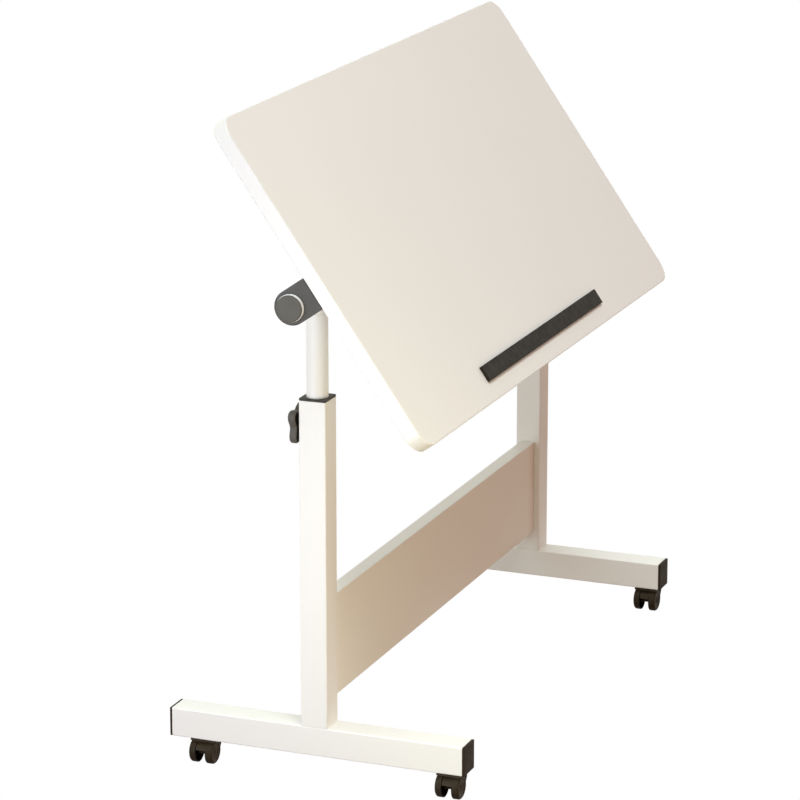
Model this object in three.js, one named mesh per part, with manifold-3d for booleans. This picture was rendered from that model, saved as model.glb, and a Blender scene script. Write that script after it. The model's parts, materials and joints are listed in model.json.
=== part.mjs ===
// Wheeled drawing table: two feet on casters, two columns with sliding posts, and a board that tilts
// on a cross shaft. Millimetres, +Z up, X along the table's width (left is -X), the user stands at -Y.
// The origin is on the floor, midway between the columns.
import * as THREE from 'three';
import { mergeVertices } from 'three/addons/utils/BufferGeometryUtils.js';
import Module from 'manifold-3d';

const wasm = await Module();
wasm.setup();

// ---- driving dimensions ------------------------------------------------------------------------
const GAP = 0.3;                  // clearance between pieces that touch in the real table

const TUBE = 45;                  // side of the square column tube, and width of the foot tube
const FOOT_HEIGHT = 48;           // height of the foot tube
const WALL = 1.5;
const TUBE_CORNER = 2;            // outer corner radius of the tubes
const COLUMN_SPACING = 1000;      // between the two column axes
const FOOT_LENGTH = 500;
const FOOT_MIDDLE_Y = -1.5;
const CAP_THICKNESS = 4;
const CAP_PLUG_DEPTH = 14;
const CAP_PLUG_WALL = 2.5;

const CASTER_HEIGHT = 44.2;       // floor to the underside of the feet
const CASTER_FRONT_Y = -226;
const CASTER_REAR_Y = 199;
const CASTER_TRAIL = 6;           // swivel axis to wheel axle
const WHEEL_RADIUS = 20;
const WHEEL_WIDTH = 12;
const WHEEL_SHOULDER = 4;         // rounding of the tread towards the wheel's outer face
const WHEEL_INNER_BEVEL = 0.8;
const WHEEL_OFFSET = 14.4;        // wheel centre from the caster's middle plane
const WHEEL_BORE_RADIUS = 3.2;
const AXLE_RADIUS = 3;
const STEM_RADIUS = 5;
const SOCKET_RADIUS = 9;
const SOCKET_FLANGE = 1.2;
const HOOD_CLEARANCE = 0.5;       // hood to the wheels' treads
const HOOD_REACH = 0.48;          // the hood ends this far beyond the wheel's top, radians
const NOSE_RADIUS = 18.6;
const NOSE_ARC = [0.3, 1.22];     // the nose's rounding, as angles up from the axle, radians

const COLUMN_TOP = 629.2;
const COLLAR_FLANGE = 3.5;
const COLLAR_DEPTH = 62;
const COLLAR_CLEARANCE = 0.3;     // radial, around the sliding post

const POST_RADIUS = 17.5;
const POST_WALL = 2;
const POST_BOTTOM = 298;
const BUSH_HEIGHT = 44;
const SPIGOT_LENGTH = 30;

const PANEL_BOTTOM = 128;         // modesty panel between the columns
const PANEL_HEIGHT = 170;
const PANEL_THICKNESS = 25;
const DOWEL_RADIUS = 4;
const DOWEL_LENGTH = 22;
const DOWEL_INSET = 34;           // dowel axis from the panel's top and bottom edges

const STAR_BELOW_TOP = 42.3;      // star knob axis below the column top
const STAR_RADIUS = 28;
const STAR_LOBE = 6.2;            // the outline swings this far either side of STAR_RADIUS
const STAR_LOBES = 4;
const STAR_TURN = 0.61;           // rest angle of the star, radians
const STAR_THICKNESS = 12.5;
const STAR_BOSS = 3.8;
const STAR_STUD_RADIUS = 4;

const PIVOT_Z = 798;              // tilt axis, above the floor
const SHAFT_RADIUS = 16;
const SHAFT_WALL = 2;
const SHAFT_HALF = 590;
const HEAD_RADIUS = 21;
const HEAD_LENGTH = 56;
const HEAD_DROP = 30;             // tilt axis down to the top of the post

const TILT = THREE.MathUtils.degToRad(55);
const BOARD_WIDTH = 1200;
const BOARD_DEPTH = 590;
const BOARD_THICKNESS = 25;
const BOARD_CORNER = 32;
const BOARD_EDGE = 2.5;           // rounding of the board's edges
const UNDERSIDE = 43;             // tilt axis to the board's underside
const BOARD_SHIFT = 2.5;          // board centre above the tilt axis, along the slope

const LEDGE_LENGTH = 556;
const LEDGE_WIDTH = 27;
const LEDGE_THICKNESS = 5;
const LEDGE_INSET = 31;           // ledge above the board's lower edge
const LEDGE_SHIFT = -13;          // ledge centre from the board centre, along X

const BRACKET_OUTER = 601.5;      // outer face of the bracket cheek, from the middle
const BRACKET_CHEEK = 8.5;
const BRACKET_RADIUS = 28;
const FLANGE_LENGTH = 50;
const FLANGE_THICKNESS = 4;
const SCREW_RADIUS = 2.2;
const SCREW_LENGTH = 18;
const SCREW_HEAD_RADIUS = 4.6;
const SCREW_PITCH = 32;           // between the two screws of a bracket

const JOURNAL_RADIUS = 12;
const STUD_RADIUS = 4;
const STUD_LENGTH = 26;
const HUB_RADIUS = 22;
const HUB_THICKNESS = 6;
const DISC_RADIUS = 21.3;
const DISC_THICKNESS = 4;

const FACETS = 28;                // round pieces in view
const FACETS_SMALL = 12;          // screws, dowels and hidden bores
const CORNER_STEPS = 2;           // arc steps in a tube's corner

// ---- values that follow from them --------------------------------------------------------------
const FOOT_TOP = CASTER_HEIGHT + FOOT_HEIGHT;
const FOOT_MIDDLE_Z = CASTER_HEIGHT + FOOT_HEIGHT / 2;
const HOOD_TOP = CASTER_HEIGHT - 2 * GAP - SOCKET_FLANGE - WHEEL_RADIUS;  // above the axle
const PLUG_SIDE = TUBE - 2 * WALL - 2 * GAP;
const COLUMN_X = COLUMN_SPACING / 2;
const COLUMN_INNER_X = COLUMN_X - TUBE / 2;
const POST_TOP = PIVOT_Z - HEAD_DROP - GAP;
const SPIGOT_RADIUS = POST_RADIUS - POST_WALL - GAP;
const STAR_Z = COLUMN_TOP - STAR_BELOW_TOP;
const STAR_BASE_Y = TUBE / 2 + GAP + STAR_BOSS;
const FLANGE_TOP = UNDERSIDE - GAP;
const BOARD_FACE = UNDERSIDE + BOARD_THICKNESS;

// ---- materials ---------------------------------------------------------------------------------
const paint = (color, roughness, metalness = 0) =>
  new THREE.MeshStandardMaterial({ color, roughness, metalness });
const WHITE_STEEL = paint(0xefebe4, 0.42);
const WHITE_BOARD = paint(0xece8e0, 0.5);
const WHITE_PANEL = paint(0xe9e2d6, 0.5);
const DARK_METAL = paint(0x4a4744, 0.5, 0.3);
const DARK_PLASTIC = paint(0x33302c, 0.6);
const TREAD = paint(0x2a2825, 0.75);
const CHROME = paint(0xd8d8d8, 0.15, 1);
const STEEL = paint(0x9c9c9a, 0.35, 1);

// ---- shape helpers -----------------------------------------------------------------------------
const part = new THREE.Group();
part.name = 'drawing_table';

function addNode(name, geometry, material) {
  const mesh = new THREE.Mesh(geometry, material);
  mesh.name = name;
  part.add(mesh);
}

function toManifold(geometry) {
  const bare = geometry.clone();
  bare.deleteAttribute('normal');
  bare.deleteAttribute('uv');
  const welded = mergeVertices(bare, 1e-4);
  return new wasm.Manifold(new wasm.Mesh({
    numProp: 3,
    vertProperties: new Float32Array(welded.attributes.position.array),
    triVerts: new Uint32Array(welded.index.array),
  }));
}

function toGeometry(manifold) {
  const mesh = manifold.getMesh();
  const geometry = new THREE.BufferGeometry();
  geometry.setAttribute('position', new THREE.BufferAttribute(mesh.vertProperties, 3));
  geometry.setIndex(new THREE.BufferAttribute(mesh.triVerts, 1));
  geometry.computeVertexNormals();
  return geometry;
}

// Adds the first list of solids together and cuts the second list out of them.
function combine(solids, cuts = []) {
  let result = toManifold(solids[0]);
  for (const solid of solids.slice(1)) {
    result = result.add(toManifold(solid));
  }
  for (const cut of cuts) {
    result = result.subtract(toManifold(cut));
  }
  return toGeometry(result);
}

function box(sizeX, sizeY, sizeZ, x, y, z) {
  return new THREE.BoxGeometry(sizeX, sizeY, sizeZ).translate(x, y, z);
}

// A cylinder centred on (x, y, z) with its axis along 'x', 'y' or 'z'.
function rod(axis, radius, length, x, y, z, facets = FACETS) {
  const geometry = new THREE.CylinderGeometry(radius, radius, length, facets);
  return alongAxis(geometry, axis).translate(x, y, z);
}

// Turns a geometry built about the Y axis so that its +Y end points along +X, +Y or +Z.
function alongAxis(geometry, axis) {
  if (axis === 'x') {
    geometry.rotateZ(-Math.PI / 2);
  }
  if (axis === 'z') {
    geometry.rotateX(Math.PI / 2);
  }
  return geometry;
}

// Turns [radius, height] pairs about an axis; a ring-shaped profile repeats its first pair at the end.
function turned(axis, profile, facets = FACETS) {
  const points = profile.map(([radius, height]) => new THREE.Vector2(radius, height));
  return alongAxis(new THREE.LatheGeometry(points, facets), axis);
}

function roundedRectangle(width, height, radius) {
  const shape = new THREE.Shape();
  const x = width / 2;
  const y = height / 2;
  shape.moveTo(x, y - radius);
  shape.absarc(x - radius, y - radius, radius, 0, Math.PI / 2, false);
  shape.absarc(-x + radius, y - radius, radius, Math.PI / 2, Math.PI, false);
  shape.absarc(-x + radius, -y + radius, radius, Math.PI, Math.PI * 1.5, false);
  shape.absarc(x - radius, -y + radius, radius, Math.PI * 1.5, Math.PI * 2, false);
  return shape;
}

// Extrudes a shape from z = 0 to z = thickness, its rim rounded by `edge` without growing the outline.
function plate(shape, thickness, edge, edgeSteps, curveSteps) {
  const geometry = new THREE.ExtrudeGeometry(shape, {
    depth: thickness - 2 * edge,
    bevelEnabled: edge > 0,
    bevelThickness: edge,
    bevelSize: edge,
    bevelOffset: -edge,
    bevelSegments: edgeSteps,
    curveSegments: curveSteps,
  });
  return geometry.translate(0, 0, edge);
}

// A rectangular tube along +Z from z = 0.
function boxTube(width, height, length) {
  const shape = roundedRectangle(width, height, TUBE_CORNER);
  shape.holes.push(roundedRectangle(width - 2 * WALL, height - 2 * WALL, TUBE_CORNER - WALL));
  return plate(shape, length, 0, 0, CORNER_STEPS);
}

// A round tube along an axis, centred on the origin.
function roundTube(axis, radius, wall, length) {
  const half = length / 2;
  return turned(axis, [
    [radius - wall, -half],
    [radius, -half],
    [radius, half],
    [radius - wall, half],
    [radius - wall, -half],
  ]);
}

// Turns a geometry built in the board's own frame (X wide, Y up the slope, Z out of the face, origin
// on the tilt axis) to its rest position.
function tilted(geometry) {
  return geometry.rotateX(TILT).translate(0, 0, PIVOT_Z);
}

// Mirrors a geometry in X and puts its triangles the right way round again.
function mirroredX(geometry) {
  const indexed = geometry.index ? geometry.clone() : mergeVertices(geometry.clone(), 1e-4);
  indexed.scale(-1, 1, 1);
  const index = indexed.index.array;
  for (let i = 0; i < index.length; i += 3) {
    [index[i], index[i + 1]] = [index[i + 1], index[i]];
  }
  indexed.computeVertexNormals();
  return indexed;
}

// Adds a piece built for the left side (-X) and its mirror image on the right.
function addPair(name, geometry, material) {
  addNode(`${name}_left`, geometry, material);
  addNode(`${name}_right`, mirroredX(geometry), material);
}

// ---- feet --------------------------------------------------------------------------------------
function foot() {
  const tube = boxTube(TUBE, FOOT_HEIGHT, FOOT_LENGTH)
    .rotateX(Math.PI / 2)
    .translate(-COLUMN_X, FOOT_MIDDLE_Y + FOOT_LENGTH / 2, FOOT_MIDDLE_Z);
  const holes = [CASTER_FRONT_Y, CASTER_REAR_Y].map((y) =>
    rod('z', SOCKET_RADIUS + 2 * GAP, 10, -COLUMN_X, y, CASTER_HEIGHT, 16));
  return combine([tube], holes);
}

// The end cap is built flange outwards along +Z, then turned to face one end of the foot.
function footCap(end) {
  const outline = roundedRectangle(TUBE, FOOT_HEIGHT, TUBE_CORNER);
  const flange = plate(outline, CAP_THICKNESS, 0.8, 1, CORNER_STEPS);
  const plugHeight = FOOT_HEIGHT - 2 * WALL - 2 * GAP;
  const plug = box(PLUG_SIDE, plugHeight, CAP_PLUG_DEPTH, 0, 0, 1 - CAP_PLUG_DEPTH / 2);
  const hollow = box(PLUG_SIDE - 2 * CAP_PLUG_WALL, plugHeight - 2 * CAP_PLUG_WALL, CAP_PLUG_DEPTH,
    0, 0, -1 - CAP_PLUG_DEPTH / 2);
  return combine([flange, plug], [hollow])
    .rotateX(-end * Math.PI / 2)
    .translate(-COLUMN_X, FOOT_MIDDLE_Y + end * (FOOT_LENGTH / 2 + GAP), FOOT_MIDDLE_Z);
}

addPair('foot', foot(), WHITE_STEEL);
addPair('foot_cap_front', footCap(-1), DARK_PLASTIC);
addPair('foot_cap_rear', footCap(1), DARK_PLASTIC);

// ---- columns and what is fixed to them ---------------------------------------------------------
const DOWEL_HEIGHTS = [PANEL_BOTTOM + DOWEL_INSET, PANEL_BOTTOM + PANEL_HEIGHT - DOWEL_INSET];

function column() {
  const tube = boxTube(TUBE, TUBE, COLUMN_TOP - FOOT_TOP - GAP).translate(-COLUMN_X, 0, FOOT_TOP + GAP);
  const starHole = rod('y', STAR_STUD_RADIUS + 0.5, 8, -COLUMN_X, TUBE / 2, STAR_Z, FACETS_SMALL);
  const dowelHoles = DOWEL_HEIGHTS.map((z) =>
    rod('x', DOWEL_RADIUS + GAP, 8, -COLUMN_INNER_X, 0, z, FACETS_SMALL));
  return combine([tube], [starHole, ...dowelHoles]);
}

function collar() {
  const outline = roundedRectangle(TUBE, TUBE, TUBE_CORNER);
  const flange = plate(outline, COLLAR_FLANGE, 0.6, 1, CORNER_STEPS);
  const sleeve = box(PLUG_SIDE, PLUG_SIDE, COLLAR_DEPTH, 0, 0, 1 - COLLAR_DEPTH / 2);
  const bore = rod('z', POST_RADIUS + COLLAR_CLEARANCE, 2 * COLLAR_DEPTH + 20, 0, 0, 0);
  const starHole = rod('y', STAR_STUD_RADIUS + 0.5, 10, 0, PLUG_SIDE / 2, -STAR_BELOW_TOP - GAP,
    FACETS_SMALL);
  return combine([flange, sleeve], [bore, starHole])
    .translate(-COLUMN_X, 0, COLUMN_TOP + GAP);
}

function modestyPanel() {
  const length = 2 * (COLUMN_INNER_X - GAP);
  const panel = plate(roundedRectangle(length, PANEL_HEIGHT, 1), PANEL_THICKNESS, 1, 1, 1)
    .rotateX(Math.PI / 2)
    .translate(0, PANEL_THICKNESS / 2, PANEL_BOTTOM + PANEL_HEIGHT / 2);
  const holes = [];
  for (const side of [-1, 1]) {
    for (const z of DOWEL_HEIGHTS) {
      holes.push(rod('x', DOWEL_RADIUS + GAP, 44, side * COLUMN_INNER_X, 0, z, FACETS_SMALL));
    }
  }
  return combine([panel], holes);
}

addPair('column', column(), WHITE_STEEL);
addPair('collar', collar(), DARK_PLASTIC);
addNode('modesty_panel', modestyPanel(), WHITE_PANEL);
DOWEL_HEIGHTS.forEach((z, i) => {
  const outerEnd = -COLUMN_INNER_X - WALL + GAP;
  const dowel = rod('x', DOWEL_RADIUS, DOWEL_LENGTH, outerEnd + DOWEL_LENGTH / 2, 0, z, FACETS_SMALL);
  addPair(i === 0 ? 'dowel_low' : 'dowel_high', dowel, STEEL);
});

// ---- star knobs that lock the posts ------------------------------------------------------------
function starOutline() {
  const points = [];
  const steps = 32;
  for (let i = 0; i < steps; i += 1) {
    const angle = (i / steps) * 2 * Math.PI;
    const radius = STAR_RADIUS + STAR_LOBE * Math.cos(STAR_LOBES * (angle - STAR_TURN));
    points.push(new THREE.Vector2(radius * Math.cos(angle), radius * Math.sin(angle)));
  }
  return new THREE.Shape(points);
}

// Built along +Z from the lobes' inner face, then turned to stand on the column's rear face.
function starKnob() {
  const lobes = plate(starOutline(), STAR_THICKNESS, 2, 1, 1);
  const boss = rod('z', 10, STAR_BOSS + 2, 0, 0, 1 - STAR_BOSS / 2);
  const blindHole = rod('z', STAR_STUD_RADIUS + GAP, 20, 0, 0, -2, FACETS_SMALL);
  return combine([lobes, boss], [blindHole])
    .rotateX(-Math.PI / 2)
    .translate(-COLUMN_X, STAR_BASE_Y, STAR_Z);
}

function starStud() {
  const tip = POST_RADIUS + GAP;
  const end = STAR_BASE_Y + 7.5;
  return rod('y', STAR_STUD_RADIUS, end - tip, -COLUMN_X, (tip + end) / 2, STAR_Z, FACETS_SMALL);
}

addPair('star_knob', starKnob(), DARK_PLASTIC);
addPair('star_stud', starStud(), STEEL);

// ---- the part that slides up and down ----------------------------------------------------------
function post() {
  return roundTube('z', POST_RADIUS, POST_WALL, POST_TOP - POST_BOTTOM)
    .translate(-COLUMN_X, 0, (POST_TOP + POST_BOTTOM) / 2);
}

function postBush() {
  const block = box(PLUG_SIDE, PLUG_SIDE, BUSH_HEIGHT, 0, 0, -BUSH_HEIGHT / 2 - GAP);
  const spigot = rod('z', SPIGOT_RADIUS, SPIGOT_LENGTH + 2, 0, 0, SPIGOT_LENGTH / 2 - 1);
  const hollow = rod('z', 10, 3 * BUSH_HEIGHT, 0, 0, 0, FACETS_SMALL);
  return combine([block, spigot], [hollow]).translate(-COLUMN_X, 0, POST_BOTTOM);
}

function postHead() {
  const barrel = rod('x', HEAD_RADIUS, HEAD_LENGTH, 0, 0, 0);
  const neck = rod('z', POST_RADIUS, HEAD_DROP, 0, 0, -HEAD_DROP / 2);
  const spigot = rod('z', SPIGOT_RADIUS, SPIGOT_LENGTH + 2, 0, 0, 1 - HEAD_DROP - SPIGOT_LENGTH / 2);
  const bore = rod('x', SHAFT_RADIUS + GAP, HEAD_LENGTH + 10, 0, 0, 0);
  return combine([barrel, neck, spigot], [bore]).translate(-COLUMN_X, 0, PIVOT_Z);
}

// End of the cross shaft: plug in the tube, shoulder, and the journal that carries the bracket.
function shaftEnd() {
  const plug = SHAFT_RADIUS - SHAFT_WALL - GAP;
  const boreRadius = STUD_RADIUS + GAP;
  const shoulder = BRACKET_OUTER - BRACKET_CHEEK - GAP;
  const tip = BRACKET_OUTER - GAP;
  return turned('x', [
    [boreRadius, -SHAFT_HALF + 30],
    [boreRadius, -tip],
    [JOURNAL_RADIUS, -tip],
    [JOURNAL_RADIUS, -shoulder],
    [SHAFT_RADIUS, -shoulder],
    [SHAFT_RADIUS, -SHAFT_HALF - GAP],
    [plug, -SHAFT_HALF - GAP],
    [plug, -SHAFT_HALF + 30],
    [boreRadius, -SHAFT_HALF + 30],
  ], 24).translate(0, 0, PIVOT_Z);
}

addPair('post', post(), WHITE_STEEL);
addPair('post_bush', postBush(), DARK_PLASTIC);
addPair('post_head', postHead(), WHITE_STEEL);
addPair('shaft_end', shaftEnd(), STEEL);
addNode('cross_shaft', roundTube('x', SHAFT_RADIUS, SHAFT_WALL, 2 * SHAFT_HALF)
  .translate(0, 0, PIVOT_Z), WHITE_STEEL);

// ---- board, ledge and tilt brackets, all in the board's own frame ------------------------------
const SCREW_X = BRACKET_OUTER - BRACKET_CHEEK - FLANGE_LENGTH * 0.55;

function board() {
  const slab = plate(roundedRectangle(BOARD_WIDTH, BOARD_DEPTH, BOARD_CORNER), BOARD_THICKNESS,
    BOARD_EDGE, 2, 8).translate(0, BOARD_SHIFT, UNDERSIDE);
  const holes = [];
  for (const side of [-1, 1]) {
    for (const end of [-1, 1]) {
      holes.push(rod('z', SCREW_RADIUS + GAP, 2 * SCREW_LENGTH - 4, side * SCREW_X,
        end * SCREW_PITCH / 2, UNDERSIDE, 12));
    }
  }
  return tilted(combine([slab], holes));
}

function ledge() {
  const bottom = BOARD_SHIFT - BOARD_DEPTH / 2 + LEDGE_INSET;
  return tilted(plate(roundedRectangle(LEDGE_LENGTH, LEDGE_WIDTH, 1), LEDGE_THICKNESS, 0.8, 1, 1)
    .translate(LEDGE_SHIFT, bottom + LEDGE_WIDTH / 2, BOARD_FACE + GAP));
}

function bracketOutline() {
  const shape = new THREE.Shape();
  shape.moveTo(BRACKET_RADIUS, FLANGE_TOP);
  shape.lineTo(-BRACKET_RADIUS, FLANGE_TOP);
  shape.lineTo(-BRACKET_RADIUS, 0);
  shape.absarc(0, 0, BRACKET_RADIUS, Math.PI, 2 * Math.PI, false);
  shape.lineTo(BRACKET_RADIUS, FLANGE_TOP);
  return shape;
}

function bracket() {
  const cheek = plate(bracketOutline(), BRACKET_CHEEK, 0.6, 1, 12)
    .rotateX(Math.PI / 2)
    .rotateZ(Math.PI / 2)
    .translate(-BRACKET_OUTER, 0, 0);
  const inner = BRACKET_OUTER - BRACKET_CHEEK;
  const flange = box(FLANGE_LENGTH + 2, 2 * BRACKET_RADIUS, FLANGE_THICKNESS,
    -inner + FLANGE_LENGTH / 2 - 1, 0, FLANGE_TOP - FLANGE_THICKNESS / 2);
  const bore = rod('x', JOURNAL_RADIUS + GAP, 4 * BRACKET_CHEEK, -BRACKET_OUTER, 0, 0);
  const screwHoles = [-1, 1].map((end) => rod('z', SCREW_RADIUS + GAP, 20, -SCREW_X,
    end * SCREW_PITCH / 2, FLANGE_TOP, 12));
  return tilted(combine([cheek, flange], [bore, ...screwHoles]));
}

function bracketScrew(end) {
  const seat = FLANGE_TOP - FLANGE_THICKNESS - GAP;
  return tilted(turned('z', [
    [0, seat - 3],
    [SCREW_HEAD_RADIUS - 1, seat - 3],
    [SCREW_HEAD_RADIUS, seat - 1.8],
    [SCREW_HEAD_RADIUS, seat],
    [SCREW_RADIUS, seat],
    [SCREW_RADIUS, seat + SCREW_LENGTH],
    [0, seat + SCREW_LENGTH + 2],
  ], 12).translate(-SCREW_X, end * SCREW_PITCH / 2, 0));
}

addNode('board', board(), WHITE_BOARD);
addNode('ledge', ledge(), DARK_METAL);
addPair('tilt_bracket', bracket(), DARK_METAL);
addPair('bracket_screw_front', bracketScrew(-1), STEEL);
addPair('bracket_screw_rear', bracketScrew(1), STEEL);

// ---- clamp knobs on the tilt axis --------------------------------------------------------------
// Profile heights run outwards along -X from the bracket's outer face.
function tiltHub() {
  const base = -BRACKET_OUTER - GAP;
  return turned('x', [
    [0, base - HUB_THICKNESS],
    [HUB_RADIUS - 0.8, base - HUB_THICKNESS],
    [HUB_RADIUS, base - HUB_THICKNESS + 0.8],
    [HUB_RADIUS, base - 0.8],
    [HUB_RADIUS - 0.8, base],
    [STUD_RADIUS, base],
    [STUD_RADIUS, base + STUD_LENGTH],
    [0, base + STUD_LENGTH],
  ]).translate(0, 0, PIVOT_Z);
}

function tiltDisc() {
  const base = -BRACKET_OUTER - HUB_THICKNESS - 2 * GAP;
  return turned('x', [
    [0, base - DISC_THICKNESS],
    [DISC_RADIUS - 1.4, base - DISC_THICKNESS],
    [DISC_RADIUS - 0.4, base - DISC_THICKNESS + 0.4],
    [DISC_RADIUS, base - DISC_THICKNESS + 1.4],
    [DISC_RADIUS, base],
    [0, base],
  ]).translate(0, 0, PIVOT_Z);
}

addPair('tilt_hub', tiltHub(), CHROME);
addPair('tilt_disc', tiltDisc(), DARK_METAL);

// ---- casters -----------------------------------------------------------------------------------
// Socket pressed into the foot's lower wall; its axis is the swivel axis.
function casterSocket() {
  const flangeTop = CASTER_HEIGHT - GAP;
  const flangeBottom = flangeTop - SOCKET_FLANGE;
  const bore = STEM_RADIUS + GAP;
  return turned('z', [
    [bore, flangeBottom],
    [13, flangeBottom],
    [13, flangeTop],
    [SOCKET_RADIUS, flangeTop],
    [SOCKET_RADIUS, flangeTop + 16],
    [bore, flangeTop + 16],
    [bore, flangeBottom],
  ], 16);
}

// The hood's cover over the wheels, in their plane with the origin on the axle: open towards -X,
// flat on top and square-shouldered towards the stem.
function hoodOutline() {
  const shape = new THREE.Shape();
  const inner = WHEEL_RADIUS + HOOD_CLEARANCE;
  shape.moveTo(inner, 0);
  shape.lineTo(21.4, 2);
  shape.lineTo(22, 8);
  shape.lineTo(22, HOOD_TOP - 2);
  shape.quadraticCurveTo(22, HOOD_TOP, 20, HOOD_TOP);
  shape.lineTo(-9, HOOD_TOP);
  shape.lineTo(-inner * Math.sin(HOOD_REACH), inner * Math.cos(HOOD_REACH));
  shape.absarc(0, 0, inner, Math.PI / 2 + HOOD_REACH, 0, true);
  return shape;
}

// The middle of the hood, between the wheels: a rounded nose towards -X that stops above the axle.
function noseOutline() {
  const [low, high] = NOSE_ARC;
  const bottom = NOSE_RADIUS * Math.sin(low);
  const shape = new THREE.Shape();
  shape.moveTo(-NOSE_RADIUS * Math.cos(low), bottom);
  shape.lineTo(-5, bottom);
  shape.lineTo(-5, -5);
  shape.lineTo(5, -5);
  shape.lineTo(18, 2);
  shape.lineTo(20, HOOD_TOP);
  shape.lineTo(-6, HOOD_TOP);
  shape.lineTo(-NOSE_RADIUS * Math.cos(high), NOSE_RADIUS * Math.sin(high));
  shape.absarc(0, 0, NOSE_RADIUS, Math.PI - high, Math.PI - low, false);
  return shape;
}

// Extrudes an XZ outline to `width` across Y, centred.
function acrossY(shape, width, edge, curveSteps) {
  return plate(shape, width, edge, 1, curveSteps).rotateX(Math.PI / 2).translate(0, width / 2, 0);
}

// Caster body about its swivel axis: hood, nose, axle ends and stem.
function casterBody() {
  const hood = acrossY(hoodOutline(), 2 * WHEEL_OFFSET + WHEEL_WIDTH + 0.4, 0.4, 6);
  const nose = acrossY(noseOutline(), 2 * WHEEL_OFFSET - WHEEL_WIDTH - 2 * GAP, 0, 5);
  const axle = rod('y', AXLE_RADIUS, 2 * WHEEL_OFFSET + WHEEL_WIDTH - 3, 0, 0, 0, FACETS_SMALL);
  const stem = rod('z', STEM_RADIUS, 18, CASTER_TRAIL, 0, HOOD_TOP + 7, FACETS_SMALL);
  return combine([hood, nose, axle, stem]).translate(-CASTER_TRAIL, 0, WHEEL_RADIUS);
}

// A wheel whose tread rounds off towards the outer face; side is -1 for the one towards -Y.
function casterWheel(side) {
  const half = WHEEL_WIDTH / 2;
  const rounding = (1 - Math.SQRT1_2) * WHEEL_SHOULDER;
  const profile = [
    [WHEEL_BORE_RADIUS, -half],
    [WHEEL_RADIUS - WHEEL_INNER_BEVEL, -half],
    [WHEEL_RADIUS, -half + WHEEL_INNER_BEVEL],
    [WHEEL_RADIUS, half - WHEEL_SHOULDER],
    [WHEEL_RADIUS - rounding, half - rounding],
    [WHEEL_RADIUS - WHEEL_SHOULDER, half],
    [WHEEL_BORE_RADIUS, half],
    [WHEEL_BORE_RADIUS, -half],
  ];
  const wheel = turned('y', profile, 24);
  if (side < 0) {
    wheel.rotateX(Math.PI);
  }
  return wheel.translate(-CASTER_TRAIL, side * WHEEL_OFFSET, WHEEL_RADIUS);
}

for (const [end, y] of [['front', CASTER_FRONT_Y], ['rear', CASTER_REAR_Y]]) {
  for (const [side, x] of [['left', -COLUMN_X], ['right', COLUMN_X]]) {
    const place = `${end}_${side}`;
    addNode(`caster_socket_${place}`, casterSocket().translate(x, y, 0), STEEL);
    addNode(`caster_body_${place}`, casterBody().translate(x, y, 0), DARK_PLASTIC);
    addNode(`caster_wheel_a_${place}`, casterWheel(-1).translate(x, y, 0), TREAD);
    addNode(`caster_wheel_b_${place}`, casterWheel(1).translate(x, y, 0), TREAD);
  }
}

export default part;
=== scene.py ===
"""Looks of the wheeled drawing table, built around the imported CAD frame.

Lengths in the shape code are millimetres and become metres when a piece is made. +X runs along the
table's width, the user stands at -Y, and +Z is up, with the floor at z = 0.
"""

import json
import math

import bmesh
import bpy
from mathutils import Matrix, Vector

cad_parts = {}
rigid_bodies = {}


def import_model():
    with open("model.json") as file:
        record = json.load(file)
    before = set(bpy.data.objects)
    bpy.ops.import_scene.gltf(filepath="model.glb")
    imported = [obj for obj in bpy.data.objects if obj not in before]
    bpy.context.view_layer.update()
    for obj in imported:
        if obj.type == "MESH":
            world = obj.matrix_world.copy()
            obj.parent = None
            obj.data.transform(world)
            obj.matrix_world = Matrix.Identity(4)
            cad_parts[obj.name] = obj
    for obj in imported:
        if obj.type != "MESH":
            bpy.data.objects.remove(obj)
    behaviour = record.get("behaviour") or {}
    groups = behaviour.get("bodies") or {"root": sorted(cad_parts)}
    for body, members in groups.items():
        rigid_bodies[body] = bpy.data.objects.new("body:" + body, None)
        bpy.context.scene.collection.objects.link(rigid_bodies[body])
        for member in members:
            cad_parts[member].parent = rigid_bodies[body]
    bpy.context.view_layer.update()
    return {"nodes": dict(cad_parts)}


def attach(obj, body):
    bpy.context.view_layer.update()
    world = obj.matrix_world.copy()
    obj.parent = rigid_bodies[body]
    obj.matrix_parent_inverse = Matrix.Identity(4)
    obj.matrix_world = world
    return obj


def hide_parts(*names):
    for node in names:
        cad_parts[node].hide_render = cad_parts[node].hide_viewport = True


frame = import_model()

MM = 0.001
GAP = 0.3  # between neighbouring pieces
SIDES = (("left", 1), ("right", -1))  # the right-hand pieces are the left ones mirrored in X
ENDS = (("front", -226.0), ("rear", 199.0))  # Y of the casters' swivel axes

# ---- dimensions of the frame, as in the CAD --------------------------------------------------------
TUBE, FOOT_HEIGHT, WALL, TUBE_CORNER = 45.0, 48.0, 1.5, 2.0
COLUMN_X = 500.0
FOOT_LENGTH, FOOT_BOTTOM, FOOT_MIDDLE_Y = 500.0, 44.2, -1.5
FOOT_TOP = FOOT_BOTTOM + FOOT_HEIGHT
FOOT_MIDDLE_Z = FOOT_BOTTOM + FOOT_HEIGHT / 2
COLUMN_TOP = 629.2
POST_RADIUS, POST_BOTTOM, POST_TOP = 17.5, 298.0, 767.7
PIVOT_Z = 798.0
STAR_Z, STAR_Y = 586.9, 26.6
BOARD_WIDTH, BOARD_DEPTH, BOARD_THICKNESS, BOARD_CORNER = 1200.0, 590.0, 25.0, 32.0
UNDERSIDE, BOARD_FACE, BOARD_SHIFT = 43.0, 68.0, 2.5
LEDGE_LENGTH, LEDGE_DEPTH, LEDGE_THICKNESS, LEDGE_X, LEDGE_INSET = 556.0, 27.0, 5.0, -13.0, 31.0
BRACKET_OUTER, CHEEK, BRACKET_RADIUS, FLANGE_TOP = 601.5, 8.5, 28.0, 42.7
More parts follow.
